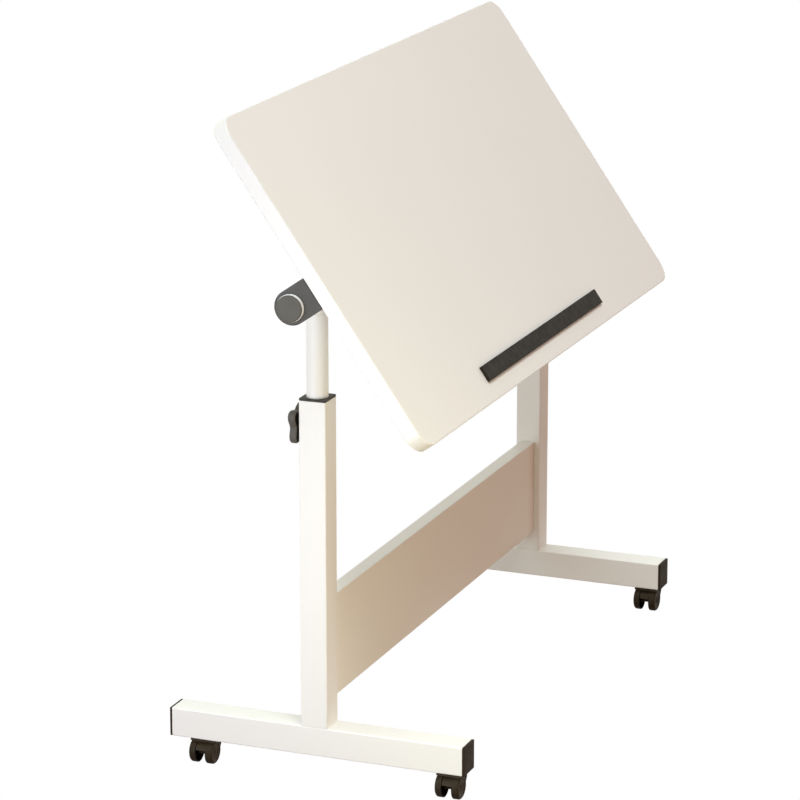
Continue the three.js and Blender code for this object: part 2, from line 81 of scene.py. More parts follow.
FLANGE, FLANGE_REACH, SCREW_X, SCREW_Y = 4.0, 50.0, -565.5, 16.0
SHAFT_RADIUS, SHAFT_END, TUBE_WALL = 16.0, 590.0, 2.0
HEAD_RADIUS, HEAD_BORE, HEAD_HALF = 21.0, 16.3, 28.0
JOURNAL_RADIUS, JOURNAL_END, JOURNAL_BORE, PLUG_RADIUS, PLUG_START = 12.0, 601.2, 4.3, 13.7, 560.0
HUB_RADIUS, HUB_DEPTH, DISC_RADIUS = 22.0, 6.0, 21.3
SOCKET_HOLE, STAR_HOLE, HOLE_DEPTH = 9.6, 4.5, 16.0  # two radii and a depth
PANEL_LENGTH, PANEL_HEIGHT, PANEL_THICKNESS, PANEL_BOTTOM = 954.4, 170.0, 25.0, 128.0
WHEEL_RADIUS, WHEEL_WIDTH, WHEEL_OFFSET, CASTER_TRAIL = 20.0, 12.0, 14.4, 6.0
AXLE_RADIUS, AXLE_HALF, WHEEL_BORE, STEM_RADIUS = 3.0, 19.0, 3.2, 5.0
HOOD_TOP, NOSE_BOTTOM = 22.4, 5.5  # above the axle
SCREW_POINTS = 24  # round the screw

TILT = Matrix.Translation((0, 0, PIVOT_Z)) @ Matrix.Rotation(math.radians(55), 4, "X")
SHARP_ANGLE = math.radians(40.0)


# ---- outlines and loops ----------------------------------------------------------------------------
def rounded_rectangle(width, height, radius, steps, side_steps=0):
    """Points of a rounded rectangle, anticlockwise; side_steps adds points along the straight sides."""
    x, y = width / 2 - radius, height / 2 - radius
    corners = ((x, y), (-x, y), (-x, -y), (x, -y))
    points = []
    for quarter, (cx, cy) in enumerate(corners):
        for i in range(steps + 1):
            angle = (quarter + i / steps) * math.pi / 2
            points.append((cx + radius * math.cos(angle), cy + radius * math.sin(angle)))
        start = points[-1]
        nx, ny = corners[(quarter + 1) % 4]
        turn = (quarter + 1) * math.pi / 2
        end = (nx + radius * math.cos(turn), ny + radius * math.sin(turn))
        for i in range(1, side_steps + 1):
            t = i / (side_steps + 1)
            points.append((start[0] + (end[0] - start[0]) * t, start[1] + (end[1] - start[1]) * t))
    return points


def arc(radius, start, sweep, steps, cx=0.0, cy=0.0):
    """steps + 1 points along an arc about (cx, cy)."""
    angles = [start + sweep * i / steps for i in range(steps + 1)]
    return [(cx + radius * math.cos(a), cy + radius * math.sin(a)) for a in angles]


def circle(radius, count):
    return arc(radius, 0, 2 * math.pi, count)[:-1]


def projected(outline, radius):
    """The circle that has a point in the direction of each point of the outline."""
    return [(x * radius / math.hypot(x, y), y * radius / math.hypot(x, y)) for x, y in outline]


def offset(outline, distance):
    """The anticlockwise outline moved inwards by distance."""
    moved = []
    count = len(outline)
    for i, (x, y) in enumerate(outline):
        ax, ay = outline[i - 1]
        bx, by = outline[(i + 1) % count]
        first = Vector((y - ay, ax - x)).normalized()
        second = Vector((by - y, x - bx)).normalized()
        normal = (first + second).normalized()
        length = distance / max(normal.dot(first), 0.4)
        moved.append((x - normal.x * length, y - normal.y * length))
    return moved


def rounding(radius, steps):
    """(inset, height) pairs of a rounded edge, from the flat face (inset = radius) to the side."""
    return [
        (radius * (1 - math.sin(math.pi / 2 * i / steps)), radius * (1 - math.cos(math.pi / 2 * i / steps)))
        for i in range(steps + 1)
    ]


def at(outline, z):
    return [(x, y, z) for x, y in outline]


def skin(loops, closed=False):
    """Faces through equal loops of points; open ends are capped, closed joins the last to the first."""
    count = len(loops[0])
    points = [p for loop in loops for p in loop]
    faces = []
    last = len(loops) if closed else len(loops) - 1
    for a in range(last):
        b = (a + 1) % len(loops)
        for i in range(count):
            j = (i + 1) % count
            faces.append((a * count + i, a * count + j, b * count + j, b * count + i))
    if not closed:
        faces.append(tuple(reversed(range(count))))
        faces.append(tuple((len(loops) - 1) * count + i for i in range(count)))
    return points, faces


def prism(outline, low, high, edge, steps):
    """A solid plate with every rim rounded."""
    rim = rounding(edge, steps)
    loops = [at(offset(outline, d), low + h) for d, h in rim]
    loops += [at(offset(outline, d), high - h) for d, h in reversed(rim)]
    return skin(loops)


def ring(outer, inner, low, high, edge, bore_edge, steps=2):
    """A hollow bar: outer and inner are outlines with equal numbers of points."""
    rim, bore = rounding(edge, steps), rounding(bore_edge, steps)
    loops = [at(offset(outer, d), low + h) for d, h in rim]
    loops += [at(offset(outer, d), high - h) for d, h in reversed(rim)]
    loops += [at(offset(inner, -d), high - h) for d, h in bore]
    loops += [at(offset(inner, -d), low + h) for d, h in reversed(bore)]
    return skin(loops, closed=True)


def lathe(profile, count, closed=False):
    """Turns (radius, height) pairs about Z; an open profile is capped by small discs at its ends."""
    return skin([at(circle(max(r, 0.4), count), h) for r, h in profile], closed)


def eased(profile, radius, steps):
    """Rounds each inner corner of a polyline of (radius, height) pairs."""
    result = [profile[0]]
    for before, corner, after in zip(profile, profile[1:], profile[2:]):
        b, c, a = Vector(before), Vector(corner), Vector(after)
        first, second = (b - c), (a - c)
        reach = min(radius, first.length * 0.45, second.length * 0.45)
        start, end = c + first.normalized() * reach, c + second.normalized() * reach
        for i in range(steps + 1):
            t = i / steps
            result.append(tuple(start.lerp(c, t).lerp(c.lerp(end, t), t)))
    result.append(profile[-1])
    return result


def moved(shape, matrix):
    points, faces = shape
    return [tuple(matrix @ Vector(p)) for p in points], faces


def joined(*shapes):
    points, faces = [], []
    for more_points, more_faces in shapes:
        start = len(points)
        points += more_points
        faces += [tuple(start + i for i in face) for face in more_faces]
    return points, faces


def axis_matrix(axis, x=0.0, y=0.0, z=0.0):
    """Lays a shape built along +Z along another axis and moves it to a place."""
    turns = {
        "x": Matrix.Rotation(math.pi / 2, 4, "Y"),
        "-x": Matrix.Rotation(-math.pi / 2, 4, "Y"),
        "y": Matrix.Rotation(-math.pi / 2, 4, "X"),
        "-y": Matrix.Rotation(math.pi / 2, 4, "X"),
    }
    return Matrix.Translation((x, y, z)) @ turns[axis]


# ---- materials -------------------------------------------------------------------------------------
class Surface:
    """A node material around one Principled shader; textures are placed in the row frame, in metres."""

    def __init__(self, name, roughness, metallic=0.0, specular=0.5):
        self.material = bpy.data.materials.new(name)
        self.material.use_nodes = True
        self.nodes = self.material.node_tree.nodes
        self.links = self.material.node_tree.links
        self.shader = self.nodes["Principled BSDF"]
        self.shader.inputs["Roughness"].default_value = roughness
        self.shader.inputs["Metallic"].default_value = metallic
        self.shader.inputs["Specular IOR Level"].default_value = specular
        self.place = self.nodes.new("ShaderNodeTexCoord").outputs["Object"]

    def stretched(self, x, y, z):
        """The texture place scaled along each axis."""
        mapping = self.nodes.new("ShaderNodeMapping")
        mapping.inputs["Scale"].default_value = (x, y, z)
        self.links.new(self.place, mapping.inputs["Vector"])
        return mapping.outputs["Vector"]

    def noise(self, scale, detail=2.0, roughness=0.5, place=None):
        node = self.nodes.new("ShaderNodeTexNoise")
        node.inputs["Scale"].default_value = scale
        node.inputs["Detail"].default_value = detail
        node.inputs["Roughness"].default_value = roughness
        self.links.new(place or self.place, node.inputs["Vector"])
        return node.outputs["Fac"]

    def cells(self, scale, feature="F1"):
        node = self.nodes.new("ShaderNodeTexVoronoi")
        node.feature = feature
        node.inputs["Scale"].default_value = scale
        self.links.new(self.place, node.inputs["Vector"])
        return node.outputs["Distance"]

    def remap(self, value, low, high, to_low, to_high):
        node = self.nodes.new("ShaderNodeMapRange")
        for i, number in enumerate((low, high, to_low, to_high), start=1):
            node.inputs[i].default_value = number
        self.links.new(value, node.inputs[0])
        return node.outputs[0]

    def combine(self, operation, first, second):
        node = self.nodes.new("ShaderNodeMath")
        node.operation = operation
        for socket, value in zip(node.inputs, (first, second)):
            if isinstance(value, (int, float)):
                socket.default_value = value
            else:
                self.links.new(value, socket)
        return node.outputs[0]

    def mix(self, factor, first, second):
        """Mixes two colours, each a triple or another node's output."""
        node = self.nodes.new("ShaderNodeMix")
        node.data_type = "RGBA"
        self.links.new(factor, node.inputs["Factor"])
        for socket, value in ((node.inputs[6], first), (node.inputs[7], second)):
            if isinstance(value, tuple):
                socket.default_value = (*value, 1)
            else:
                self.links.new(value, socket)
        return node.outputs[2]

    def edges(self, low=0.51, high=0.56):
        """1 along convex edges and 0 on flat faces."""
        pointiness = self.nodes.new("ShaderNodeNewGeometry").outputs["Pointiness"]
        return self.remap(pointiness, low, high, 0, 1)

    def color(self, output):
        self.links.new(output, self.shader.inputs["Base Color"])

    def roughness(self, output):
        self.links.new(output, self.shader.inputs["Roughness"])

    def bump(self, height, depth_mm):
        """Adds relief of about depth_mm on top of what is there."""
        node = self.nodes.new("ShaderNodeBump")
        node.inputs["Strength"].default_value = 1.0
        node.inputs["Distance"].default_value = depth_mm * MM
        self.links.new(height, node.inputs["Height"])
        normal = self.shader.inputs["Normal"]
        if normal.links:
            self.links.new(normal.links[0].from_socket, node.inputs["Normal"])
        self.links.new(node.outputs["Normal"], normal)


def powder_coat(name, base, shade, roughness, peel_mm, grain_mm):
    """Powder coat: orange peel of about 2 mm, a finer grain, and a thinner film along the edges."""
    s = Surface(name, roughness, specular=0.45)
    clouds = s.remap(s.noise(5.0, 3), 0.35, 0.65, 0, 1)
    fine = s.remap(s.noise(260.0, 2), 0.3, 0.7, 0, 0.35)
    body = s.mix(s.combine("MULTIPLY", clouds, 0.5), base, shade)
    speckled = s.mix(fine, body, shade)
    lighter = tuple(min(1.0, c * 1.015) for c in base)
    s.color(s.mix(s.edges(), speckled, lighter))
    s.roughness(s.remap(s.noise(38.0, 4), 0.3, 0.7, roughness - 0.05, roughness + 0.06))
    s.bump(s.noise(480.0, 1), peel_mm)
    s.bump(s.noise(1900.0, 2), grain_mm)
    return s.material


def laminate(name, base, shade, roughness=0.47):
    """Melamine laminate: a fine pebbled press texture and a faint cloudiness."""
    s = Surface(name, roughness, specular=0.42)
    clouds = s.remap(s.noise(2.4, 4), 0.35, 0.65, 0, 0.55)
    specks = s.remap(s.noise(520.0, 3, 0.7), 0.62, 0.8, 0, 0.4)
    s.color(s.mix(specks, s.mix(clouds, base, shade), tuple(c * 0.93 for c in base)))
    smears = s.noise(3.5, 5, 0.6, s.stretched(1.0, 3.0, 3.0))
    s.roughness(s.remap(smears, 0.3, 0.7, roughness - 0.06, roughness + 0.07))
    s.bump(s.cells(620.0, "SMOOTH_F1"), 0.035)
    s.bump(s.noise(1500.0, 2), 0.012)
    return s.material


def edge_band(name, base, shade):
    """ABS edge band: smoother than the faces, with faint lines along its length."""
    s = Surface(name, 0.36, specular=0.5)
    lines = s.noise(1.0, 3, 0.6, s.stretched(4.0, 900.0, 900.0))
    s.color(s.mix(s.remap(s.noise(7.0, 3), 0.35, 0.65, 0, 0.6), base, shade))
    s.roughness(s.remap(lines, 0.3, 0.7, 0.31, 0.42))
    s.bump(lines, 0.01)
    s.bump(s.noise(700.0, 1), 0.012)
    return s.material


def dark_coat(name, base, worn, specular=0.3):
    """Dark powder coat with a sandy texture, rubbed lighter along its edges."""
    s = Surface(name, 0.55, specular=specular)
    sand = s.noise(900.0, 3, 0.65)
    clouds = s.remap(s.noise(14.0, 4), 0.35, 0.65, 0, 1)
    body = s.mix(clouds, base, tuple(c * 1.07 for c in base))
    grainy = s.mix(s.remap(sand, 0.55, 0.75, 0, 0.4), body, tuple(c * 1.35 for c in base))
    patchy = s.combine("MULTIPLY", s.edges(0.515, 0.6), s.remap(s.noise(90.0, 3), 0.35, 0.7, 0.1, 0.7))
    s.color(s.mix(patchy, grainy, worn))
    s.roughness(s.remap(s.noise(60.0, 4), 0.3, 0.7, 0.5, 0.62))
    s.bump(sand, 0.05)
    s.bump(s.cells(1400.0, "SMOOTH_F1"), 0.02)
    return s.material


def moulded(name, base, worn, roughness=0.5, specular=0.25):
    """Dark moulded plastic with a spark-eroded grain and slightly polished edges."""
    s = Surface(name, roughness, specular=specular)
    grain = s.cells(1150.0, "SMOOTH_F1")
    clouds = s.remap(s.noise(22.0, 4), 0.35, 0.65, 0, 1)
    body = s.mix(clouds, base, tuple(c * 1.18 for c in base))
    s.color(s.mix(s.combine("MULTIPLY", s.edges(0.515, 0.62), 0.55), body, worn))
    rubbed = s.remap(s.edges(0.51, 0.6), 0, 1, 0.0, -0.1)
    varied = s.remap(s.noise(120.0, 4), 0.3, 0.7, roughness - 0.05, roughness + 0.08)
    s.roughness(s.combine("ADD", varied, rubbed))
    s.bump(grain, 0.03)
    s.bump(s.noise(300.0, 2), 0.03)
    return s.material


def rubber(name, base, dust):
    """Wheel tread: matte, lightly scuffed, with pale dust rubbed into it."""
    s = Surface(name, 0.72, specular=0.2)
    scuffs = s.remap(s.noise(420.0, 5, 0.7), 0.5, 0.8, 0, 0.55)
    patches = s.remap(s.noise(70.0, 4), 0.45, 0.7, 0, 1)
    s.color(s.mix(s.combine("MULTIPLY", scuffs, patches), base, dust))
    s.roughness(s.remap(s.noise(160.0, 4), 0.3, 0.7, 0.62, 0.82))
    s.bump(s.noise(650.0, 4, 0.6), 0.08)
    return s.material


def satin_silver(name, base, shade):
    """Bright silver lacquer on turned metal: fine turning lines and a soft haze."""
    s = Surface(name, 0.38, metallic=0.15)
    haze = s.remap(s.noise(60.0, 5, 0.6), 0.35, 0.7, 0, 1)
    s.color(s.mix(haze, base, shade))
    turning = s.noise(1.0, 2, 0.5, s.stretched(9000.0, 60.0, 60.0))
    s.roughness(s.remap(turning, 0.3, 0.7, 0.3, 0.5))
    s.bump(turning, 0.006)
    return s.material


def plated(name, light, dark):
    """Plated steel: soft crystalline patches."""
    s = Surface(name, 0.36, metallic=1.0)
    crystals = s.remap(s.cells(260.0), 0.0, 0.9, 0, 1)
    s.color(s.mix(crystals, light, dark))
    s.roughness(s.remap(s.noise(150.0, 4), 0.3, 0.7, 0.28, 0.46))
    s.bump(s.noise(900.0, 3), 0.02)
    return s.material


WHITE_STEEL = powder_coat(
    "white_powder_coat", (0.865, 0.855, 0.835), (0.835, 0.825, 0.80), 0.40, 0.05, 0.012)
WHITE_BOARD = laminate("white_laminate", (0.855, 0.848, 0.825), (0.835, 0.826, 0.80))
# The panel's laminate is a lighter, warmer copy of the board's white laminate. This is painted light on a
# panel that sits in the board's shade.
WHITE_PANEL_LIT = laminate("white_panel_laminate_painted_light", (0.89, 0.865, 0.80), (0.87, 0.842, 0.775), 0.5)
EDGE_BAND = edge_band("white_edge_band", (0.87, 0.865, 0.85), (0.85, 0.842, 0.82))
# One dark paint in three copies. The bracket and disc coats are lighter, which is painted light on their
# brightly lit outer sides. The ledge coat is darker, which is painted shade on the dimmer board face.
DARK_METAL_LIT = dark_coat("dark_powder_coat_painted_light", (0.078, 0.074, 0.070), (0.17, 0.165, 0.16))
DISC_METAL_LIT = dark_coat("disc_powder_coat_painted_light", (0.100, 0.095, 0.082), (0.17, 0.165, 0.155))
LEDGE_METAL_SHADED = dark_coat("ledge_powder_coat_painted_shade", (0.019, 0.016, 0.013), (0.05, 0.045, 0.04), 0.15)
DARK_PLASTIC = moulded("dark_moulded_plastic", (0.034, 0.030, 0.025), (0.10, 0.09, 0.08))
# The knob's plastic is a lighter copy of the dark plastic, which is painted light on its lit lobes.
KNOB_PLASTIC_LIT = moulded("knob_plastic_painted_light", (0.090, 0.084, 0.074), (0.16, 0.15, 0.14))
CAP_PLASTIC = moulded("end_cap_plastic", (0.024, 0.014, 0.007), (0.075, 0.062, 0.05), 0.55, 0.12)
CASTER_PLASTIC = moulded("caster_plastic", (0.031, 0.021, 0.011), (0.085, 0.07, 0.05), 0.5, 0.16)
# Near-black, used as painted shade inside the casters, on the wheels' inner sides and on the knob bosses.
SHADE_BLACK_PLASTIC = moulded("painted_shade_black_plastic", (0.008, 0.006, 0.005), (0.014, 0.012, 0.010), 0.6, 0.1)
TREAD = rubber("wheel_tread", (0.027, 0.019, 0.010), (0.08, 0.065, 0.05))
SATIN_SILVER = satin_silver("satin_silver", (0.91, 0.93, 0.95), (0.84, 0.86, 0.88))
STEEL = plated("zinc_plated_steel", (0.60, 0.60, 0.59), (0.43, 0.44, 0.45))
# Black plating, dark enough to serve as a painted contact shadow along the gap under each foot.
BLACK_STEEL_SHADOW = plated("black_plated_steel_painted_shadow", (0.050, 0.046, 0.042), (0.032, 0.030, 0.028))


# ---- making a piece --------------------------------------------------------------------------------
def closed_mesh(name, shape):
    """A mesh from (points in mm, faces), its double points merged and its faces turned outwards."""
    points, faces = shape
    mesh = bpy.data.meshes.new(name)
    mesh.from_pydata([tuple(c * MM for c in p) for p in points], [], faces)
    bm = bmesh.new()
    bm.from_mesh(mesh)
    bmesh.ops.remove_doubles(bm, verts=bm.verts, dist=2e-7)
    bmesh.ops.recalc_face_normals(bm, faces=bm.faces)
    bm.to_mesh(mesh)
    bm.free()
    return mesh


def drilled(mesh, cuts):
    """The mesh with the shapes in cuts taken away from it."""
    scene = bpy.context.scene.collection.objects
    blank = bpy.data.objects.new("blank", mesh)
    drills = [bpy.data.objects.new("drill", closed_mesh("drill", cut)) for cut in cuts]
    for obj in (blank, *drills):
        scene.link(obj)
    for drill in drills:
        hole = blank.modifiers.new("hole", "BOOLEAN")
        hole.operation = "DIFFERENCE"
        hole.solver = "EXACT"
        hole.object = drill
    result = bpy.data.meshes.new_from_object(blank.evaluated_get(bpy.context.evaluated_depsgraph_get()))
    for obj in (blank, *drills):
        bpy.data.objects.remove(obj)
    return result


def make(name, shape, material, body, slot, replaces=(), others=(), choose=None, cuts=()):
    """Turns (points in mm, faces) into a smooth-shaded piece. choose(centre in mm, normal) says which
    of (material, *others) a face takes, and the shapes in cuts are taken away."""
    mesh = closed_mesh(name, shape)
    if cuts:
        mesh = drilled(mesh, cuts)
        mesh.name = name
    for paint in (material, *others):
        mesh.materials.append(paint)
    if choose:
        for face in mesh.polygons:
            face.material_index = choose(face.center / MM, face.normal)
    mesh.shade_smooth()
    mesh.set_sharp_from_angle(angle=SHARP_ANGLE)
    obj = bpy.data.objects.new(name, mesh)
    bpy.context.scene.collection.objects.link(obj)
    normals = obj.modifiers.new("normals", "WEIGHTED_NORMAL")
    normals.keep_sharp = True
    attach(obj, body)
    if replaces:
        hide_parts(*replaces)


def pair(name, shape, material, body, slot, nodes=(), cuts=(), **more):
    """Makes a piece built for the left side, and its mirror image. A '{}' in a body or node name is
    the side."""
    for side, sign in SIDES:
        mirror = Matrix.Diagonal((sign, 1, 1, 1))
        taken = [node.format(side) for node in nodes]
        holes = [moved(cut, mirror) for cut in cuts]
        placed = moved(shape, mirror)
        make(f"{name}_{side}", placed, material, body.format(side), slot, taken, cuts=holes, **more)


# ---- feet, end caps and columns --------------------------------------------------------------------
def box_tube(width, height, length):
    outer = rounded_rectangle(width, height, TUBE_CORNER, 8)
    bore = rounded_rectangle(width - 2 * WALL, height - 2 * WALL, TUBE_CORNER - WALL, 8)
    return ring(outer, bore, 0, length, 0.3, 0.2)


def end_cap():
    """Plug, flange with a soft rim, and an outer face that crowns slightly. Built along +Z, its height
    along Y."""
    plug = rounded_rectangle(TUBE - 2 * WALL - 2 * GAP, FOOT_HEIGHT - 2 * WALL - 2 * GAP, 1.2, 8)
    outline = rounded_rectangle(TUBE, FOOT_HEIGHT, TUBE_CORNER, 8)
    loops = [at(offset(plug, 0.8), -13.0), at(plug, -12.0), at(plug, 0.0)]
    loops += [at(offset(outline, 0.2), 0.0), at(outline, 0.2)]
    loops += [at(offset(outline, d), 3.6 - h) for d, h in reversed(rounding(0.7, 4))]
    crown = ((8, 3.75), (18, 3.92), (30, 4.0))  # (smaller by, height)
    loops += [at(rounded_rectangle(TUBE - s, FOOT_HEIGHT - s, 3, 8), z) for s, z in crown]
    return skin(loops)


def drill(radius, place):
    """The cylinder that makes a hole, centred on the place's origin."""
    end = HOLE_DEPTH / 2
    return moved(lathe([(0, -end), (radius, -end), (radius, end), (0, end)], 48), place)


foot_place = axis_matrix("y", -COLUMN_X, FOOT_MIDDLE_Y - FOOT_LENGTH / 2, FOOT_MIDDLE_Z)
socket_holes = [drill(SOCKET_HOLE, Matrix.Translation((-COLUMN_X, y, FOOT_BOTTOM))) for _, y in ENDS]
star_hole = drill(STAR_HOLE, axis_matrix("y", -COLUMN_X, TUBE / 2 - 2, STAR_Z))
foot = moved(box_tube(TUBE, FOOT_HEIGHT, FOOT_LENGTH), foot_place)
pair("foot_tube", foot, WHITE_STEEL, "base", "white_steel", ["foot_{}"], socket_holes)
for end, axis, sign in (("front", "-y", -1), ("rear", "y", 1)):
    cap_place = axis_matrix(axis, -COLUMN_X, FOOT_MIDDLE_Y + sign * (FOOT_LENGTH / 2 + GAP), FOOT_MIDDLE_Z)
    pair(f"end_cap_{end}", moved(end_cap(), cap_place), CAP_PLASTIC, "base", "dark_plastic",
         ["foot_cap_" + end + "_{}"])

column_place = Matrix.Translation((-COLUMN_X, 0, FOOT_TOP + GAP))
column = moved(box_tube(TUBE, TUBE, COLUMN_TOP - FOOT_TOP - GAP), column_place)
pair("column_tube", column, WHITE_STEEL, "base", "white_steel", ["column_{}"], [star_hole])


def weld_bead():
    """The fillet weld across the foot behind the column; its mirror image lies in front of it."""
    stations, half, weld, sunk = 60, TUBE / 2 - 2.2, 1.3, 0.4
    back, base = TUBE / 2 - sunk, FOOT_TOP - sunk
    loops = []
    for i in range(stations + 1):
        t = i / stations
        x = -half + 2 * half * t
        swell = 1 + 0.06 * math.sin(t * 46) + 0.03 * math.sin(t * 17 + 1)
        size = weld * swell * min(1.0, 0.35 + 6 * min(t, 1 - t))
        section = [(back, base), (back + sunk + size, base)]
        for a in (0.05, 0.4, 0.785, 1.17, 1.52):
            reach = size * (0.86 + 0.14 * math.cos(4 * a))
            section.append((back + sunk + reach * math.cos(a), base + sunk + reach * math.sin(a)))
        section.append((back, base + sunk + size))
        loops.append([(x - COLUMN_X, y, z) for y, z in section])
    return skin(loops)


pair("weld_rear", weld_bead(), WHITE_STEEL, "base", "white_steel")
pair("weld_front", moved(weld_bead(), Matrix.Diagonal((1, -1, 1, 1))), WHITE_STEEL, "base", "white_steel")


# ---- collars, star knobs ---------------------------------------------------------------------------
def collar():
    """Flange on the column top, bore lip round the post, and the sleeve down inside the column."""
    outline = rounded_rectangle(TUBE, TUBE, TUBE_CORNER, 6, 12)
    inside = TUBE - 2 * WALL - 2 * GAP
    sleeve = rounded_rectangle(inside, inside, 1.2, 6, 12)
    low, high, bore = COLUMN_TOP + GAP, COLUMN_TOP + 3.8, POST_RADIUS + GAP
    bottom = low - 61
    loops = [at(sleeve, bottom), at(sleeve, low), at(offset(outline, 0.25), low), at(outline, low + 0.25)]
    loops += [at(offset(outline, d), high - h) for d, h in reversed(rounding(0.9, 4))]
    loops += [at(projected(outline, bore + d), high - h) for d, h in rounding(0.8, 4)]
    loops += [at(projected(outline, bore), bottom)]
    return moved(skin(loops, closed=True), Matrix.Translation((-COLUMN_X, 0, 0)))


def star_knob():
    """Four-lobed clamp knob along +Z: boss, lobes with full rounding, and a recessed centre cap."""
    count, middle, lobe, turn, thickness = 128, 28.0, 6.2, 0.61, 12.5
    outline = []
    for i in range(count):
        angle = 2 * math.pi * i / count
        radius = middle + lobe * math.cos(4 * (angle - turn))
        outline.append((radius * math.cos(angle), radius * math.sin(angle)))
    loops = [at(projected(outline, r), z) for r, z in ((9.4, -3.8), (10, -3.4), (10, -0.5), (10.6, 0.0))]
    loops += [at(offset(outline, d), h) for d, h in rounding(3.2, 6)]
    loops += [at(offset(outline, d), thickness - h) for d, h in reversed(rounding(3.6, 7))]
    centre_cap = ((14.2, 12.9), (13.4, 12.8), (12.9, 12.2), (12.5, 11.5), (12.1, 11.5), (11.8, 12.1),
                  (11.2, 12.5), (7.0, 12.8), (2.5, 12.9))
    loops += [at(projected(outline, r), z) for r, z in centre_cap]
    return moved(skin(loops), axis_matrix("y", -COLUMN_X, STAR_Y, STAR_Z))


pair("collar_ring", collar(), DARK_PLASTIC, "base", "dark_plastic", ["collar_{}"], [star_hole])
# The lobes take the lighter plastic, which is painted light. The boss next to the column takes near-black,
# which is painted shade.
pair("clamp_star", star_knob(), KNOB_PLASTIC_LIT, "lift_clamp_{}", "dark_plastic", ["star_knob_{}"],
     others=[SHADE_BLACK_PLASTIC], choose=lambda centre, normal: int(centre.y < STAR_Y + 0.2))


# ---- modesty panel ---------------------------------------------------------------------------------
def banded_slab(outline_at, thickness, edge, seam):
    """A faced board from z = 0: rounded edge band, and a fine V groove where the band meets each face.
    outline_at(inset) gives the outline."""
    groove = ((seam + 0.3, 0.0), (seam, 0.22), (seam - 0.22, 0.0))
    rim = rounding(edge, 5)
    loops = [at(outline_at(d), h) for d, h in (*groove, *rim)]
    loops += [at(outline_at(d), thickness - h) for d, h in (*reversed(rim), *reversed(groove))]
    return skin(loops)


def panel_outline(inset):
    width, height = PANEL_LENGTH - 2 * inset, PANEL_HEIGHT - 2 * inset
    return rounded_rectangle(width, height, max(1.6 - inset, 0.15), 3)


panel_place = axis_matrix("-y", 0, PANEL_THICKNESS / 2, PANEL_BOTTOM + PANEL_HEIGHT / 2)
panel = moved(banded_slab(panel_outline, PANEL_THICKNESS, 1.0, 1.6), panel_place)
# The panel takes the lighter laminate, which is painted light.
make("modesty_board", panel, WHITE_PANEL_LIT, "base", "white_panel", ["modesty_panel"],
     others=[EDGE_BAND], choose=lambda centre, normal: int(abs(centre.y) < PANEL_THICKNESS / 2 - 0.1))


# ---- posts, heads and cross shaft ------------------------------------------------------------------
def post_head():
    """Barrel round the cross shaft, the neck that stands on the post, and the weld between them."""
    count = 72
    ends = [(HEAD_BORE, HEAD_HALF), (HEAD_BORE, -HEAD_HALF)]
    outer = [(HEAD_RADIUS, -HEAD_HALF), (HEAD_RADIUS, HEAD_HALF)]
    barrel_profile = eased([ends[1], *outer, ends[0]], 1.4, 4)
    barrel = moved(lathe(barrel_profile + ends, count, closed=True), axis_matrix("x"))
    foot_edge = [(-0.3, -30.0), (0.0, -29.7)]
    neck_loops = [at(circle(POST_RADIUS + d, count), z) for d, z in foot_edge]
    inside = HEAD_RADIUS - 0.6
    neck_loops.append([(x, y, -math.sqrt(inside**2 - y * y)) for x, y in circle(POST_RADIUS, count)])
    bead = 1.9
    bead_loops = []
    for x, y in circle(POST_RADIUS + 0.2, count):
        centre = Vector((x, y, -math.sqrt((HEAD_RADIUS - 0.1)**2 - y * y)))
        out = Vector((x, y, 0)).normalized()
        bead_loops.append([tuple(centre + out * u + Vector((0, 0, v))) for u, v in circle(bead, 10)])
    head = joined(barrel, skin(neck_loops), skin(bead_loops, closed=True))
    return moved(head, Matrix.Translation((-COLUMN_X, 0, PIVOT_Z)))


def hollow_rod(radius, low, high):
    bore = radius - TUBE_WALL
    outer = eased([(bore, low), (radius, low), (radius, high), (bore, high)], 0.4, 2)
    return lathe(outer + [(bore, high), (bore, low)], 72, closed=True)


post = moved(hollow_rod(POST_RADIUS, POST_BOTTOM, POST_TOP), Matrix.Translation((-COLUMN_X, 0, 0)))
pair("post_tube", post, WHITE_STEEL, "lift", "white_steel", ["post_{}"])
pair("head", post_head(), WHITE_STEEL, "lift", "white_steel", ["post_head_{}"])
shaft = moved(hollow_rod(SHAFT_RADIUS, -SHAFT_END, SHAFT_END), axis_matrix("x", 0, 0, PIVOT_Z))
make("shaft_tube", shaft, WHITE_STEEL, "lift", "white_steel", ["cross_shaft"])
bore_start, bore_end = (JOURNAL_BORE, PLUG_START), (JOURNAL_BORE, JOURNAL_END)
collar_start, collar_end = SHAFT_END + GAP, SHAFT_END + 2.7
journal_profile = eased([bore_start, (PLUG_RADIUS, PLUG_START), (PLUG_RADIUS, collar_start),
                         (SHAFT_RADIUS, collar_start), (SHAFT_RADIUS, collar_end),
                         (JOURNAL_RADIUS, collar_end), (JOURNAL_RADIUS, JOURNAL_END), bore_end], 0.5, 3)
journal = lathe(journal_profile + [bore_end, bore_start], 64, closed=True)
pair("journal", moved(journal, axis_matrix("-x", 0, 0, PIVOT_Z)), STEEL, "lift", "steel", ["shaft_end_{}"])


# ---- board and ledge -------------------------------------------------------------------------------
def board_outline(inset):
    return rounded_rectangle(BOARD_WIDTH - 2 * inset, BOARD_DEPTH - 2 * inset, BOARD_CORNER - inset, 20)


board_place = TILT @ Matrix.Translation((0, BOARD_SHIFT, UNDERSIDE))
to_board = board_place.inverted()
slab = moved(banded_slab(board_outline, BOARD_THICKNESS, 2.0, 2.3), board_place)


def on_band(centre, normal):
    """1 for the edge and the grooves: every face that doesn't lie in one of the two flat sides."""
    local = to_board @ centre
    return int(0.02 < local.z < BOARD_THICKNESS - 0.02)


make("board_slab", slab, WHITE_BOARD, "board", "white_board", ["board"], others=[EDGE_BAND], choose=on_band)


